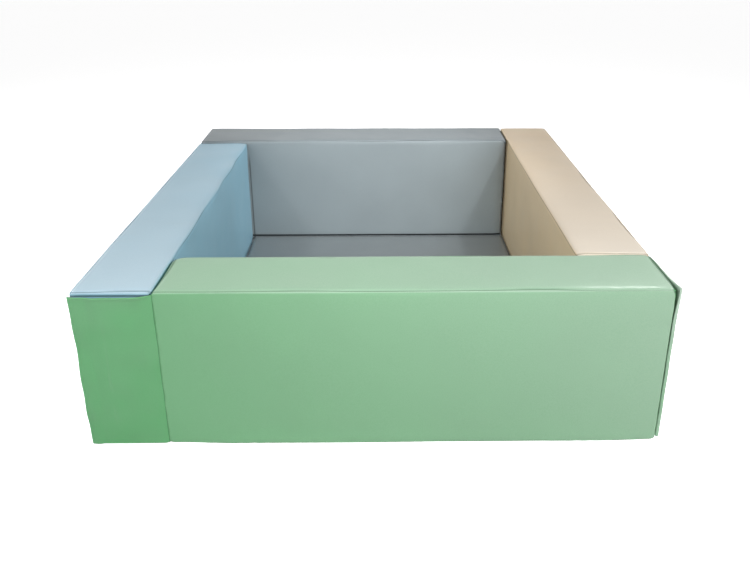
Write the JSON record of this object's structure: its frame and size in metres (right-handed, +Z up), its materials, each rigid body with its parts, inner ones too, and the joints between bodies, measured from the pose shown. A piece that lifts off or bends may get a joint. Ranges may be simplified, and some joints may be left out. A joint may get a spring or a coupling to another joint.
{
  "type": "ball pit",
  "caption": "Square soft-play ball pit: foam wall blocks in vinyl covers set in a pinwheel round a thin floor mat, joined at the corners by hook-and-loop flaps, with zips underneath.",
  "frame": {"origin": "centre of the object's footprint, at floor level", "axes": "+Z up; the front (green) wall is at -Y, the left (blue) wall at -X, the back (grey) wall at +Y and the right (sand) wall at +X"},
  "size_m": [1.5188, 1.5188, 0.453],
  "materials": {
    "green_vinyl": "sage green PVC faux leather, fine grain, semi-gloss",
    "blue_vinyl": "pale powder blue PVC faux leather, fine grain, semi-gloss",
    "grey_vinyl": "slate grey PVC faux leather, fine grain, semi-gloss",
    "sand_vinyl": "sand beige PVC faux leather, fine grain, semi-gloss",
    "mat_vinyl": "slate grey PVC faux leather, fine grain, satin",
    "foam": "cream open-cell polyurethane foam",
    "hook_and_loop": "woven hook-and-loop tape, matt",
    "zip_tape": "woven polyester zip tape with nylon coil",
    "zip_metal": "plated zinc alloy, satin"
  },
  "bodies": {
    "front_wall": {"front_cover": "green_vinyl", "front_foam": "foam", "front_loop_tape": "hook_and_loop", "front_zip_chain": "zip_tape"},
    "front_flap": {"front_flap": "green_vinyl", "front_hook_tape": "hook_and_loop"},
    "front_slider": {"front_zip_slider": "zip_metal"},
    "front_pull": {"front_zip_pull": "zip_metal"},
    "left_wall": {"left_cover": "blue_vinyl", "left_foam": "foam", "left_loop_tape": "hook_and_loop", "left_zip_chain": "zip_tape"},
    "left_flap": {"left_flap": "blue_vinyl", "left_hook_tape": "hook_and_loop"},
    "left_slider": {"left_zip_slider": "zip_metal"},
    "left_pull": {"left_zip_pull": "zip_metal"},
    "back_wall": {"back_cover": "grey_vinyl", "back_foam": "foam", "back_loop_tape": "hook_and_loop", "back_zip_chain": "zip_tape"},
    "back_flap": {"back_flap": "grey_vinyl", "back_hook_tape": "hook_and_loop"},
    "back_slider": {"back_zip_slider": "zip_metal"},
    "back_pull": {"back_zip_pull": "zip_metal"},
    "right_wall": {"right_cover": "sand_vinyl", "right_foam": "foam", "right_loop_tape": "hook_and_loop", "right_zip_chain": "zip_tape"},
    "right_flap": {"right_flap": "green_vinyl", "right_hook_tape": "hook_and_loop"},
    "right_slider": {"right_zip_slider": "zip_metal"},
    "right_pull": {"right_zip_pull": "zip_metal"},
    "mat": {"mat_cover": "mat_vinyl", "mat_foam": "foam", "mat_zip_chain": "zip_tape"},
    "mat_slider": {"mat_zip_slider": "zip_metal"},
    "mat_pull": {"mat_zip_pull": "zip_metal"}
  },
  "joints": [
    {"name": "front_wall_pull_away", "type": "slide", "parent": "back_wall", "child": "front_wall", "axis": [0, -1, 0], "range_m": [0, 0.3]},
    {"name": "left_wall_pull_away", "type": "slide", "parent": "back_wall", "child": "left_wall", "axis": [-1, 0, 0], "range_m": [0, 0.3]},
    {"name": "right_wall_pull_away", "type": "slide", "parent": "back_wall", "child": "right_wall", "axis": [1, 0, 0], "range_m": [0, 0.3]},
    {"name": "mat_lift", "type": "slide", "parent": "back_wall", "child": "mat", "axis": [0, 0, 1], "range_m": [0, 0.5]},
    {"name": "front_flap_swing", "type": "hinge", "parent": "front_wall", "child": "front_flap", "pos_m": [-0.54635, -0.75053, 0.226], "axis": [0, 0, 1], "range_deg": [0, 170]},
    {"name": "left_flap_swing", "type": "hinge", "parent": "left_wall", "child": "left_flap", "pos_m": [-0.75053, 0.54635, 0.226], "axis": [0, 0, 1], "range_deg": [0, 170]},
    {"name": "back_flap_swing", "type": "hinge", "parent": "back_wall", "child": "back_flap", "pos_m": [0.54635, 0.75053, 0.226], "axis": [0, 0, 1], "range_deg": [0, 170]},
    {"name": "right_flap_swing", "type": "hinge", "parent": "right_wall", "child": "right_flap", "pos_m": [0.75053, -0.54635, 0.226], "axis": [0, 0, 1], "range_deg": [0, 170]},
    {"name": "front_zip_run", "type": "slide", "parent": "front_wall", "child": "front_slider", "axis": [-1, 0, 0], "range_m": [0, 1.066]},
    {"name": "front_pull_swing", "type": "hinge", "parent": "front_slider", "child": "front_pull", "pos_m": [0.63253, -0.65, 0.0026], "axis": [0, -1, 0], "range_deg": [0, 170]},
    {"name": "left_zip_run", "type": "slide", "parent": "left_wall", "child": "left_slider", "axis": [0, 1, 0], "range_m": [0, 1.066]},
    {"name": "left_pull_swing", "type": "hinge", "parent": "left_slider", "child": "left_pull", "pos_m": [-0.65, -0.63253, 0.0026], "axis": [-1, 0, 0], "range_deg": [0, 170]},
    {"name": "back_zip_run", "type": "slide", "parent": "back_wall", "child": "back_slider", "axis": [1, 0, 0], "range_m": [0, 1.066]},
    {"name": "back_pull_swing", "type": "hinge", "parent": "back_slider", "child": "back_pull", "pos_m": [-0.63253, 0.65, 0.0026], "axis": [0, 1, 0], "range_deg": [0, 170]},
    {"name": "right_zip_run", "type": "slide", "parent": "right_wall", "child": "right_slider", "axis": [0, -1, 0], "range_m": [0, 1.066]},
    {"name": "right_pull_swing", "type": "hinge", "parent": "right_slider", "child": "right_pull", "pos_m": [0.65, 0.63253, 0.0026], "axis": [1, 0, 0], "range_deg": [0, 170]},
    {"name": "mat_zip_run", "type": "slide", "parent": "mat", "child": "mat_slider", "axis": [-1, 0, 0], "range_m": [0, 0.862]},
    {"name": "mat_pull_swing", "type": "hinge", "parent": "mat_slider", "child": "mat_pull", "pos_m": [0.4325, -0.4855, 0.0026], "axis": [0, -1, 0], "range_deg": [0, 170]}
  ]
}
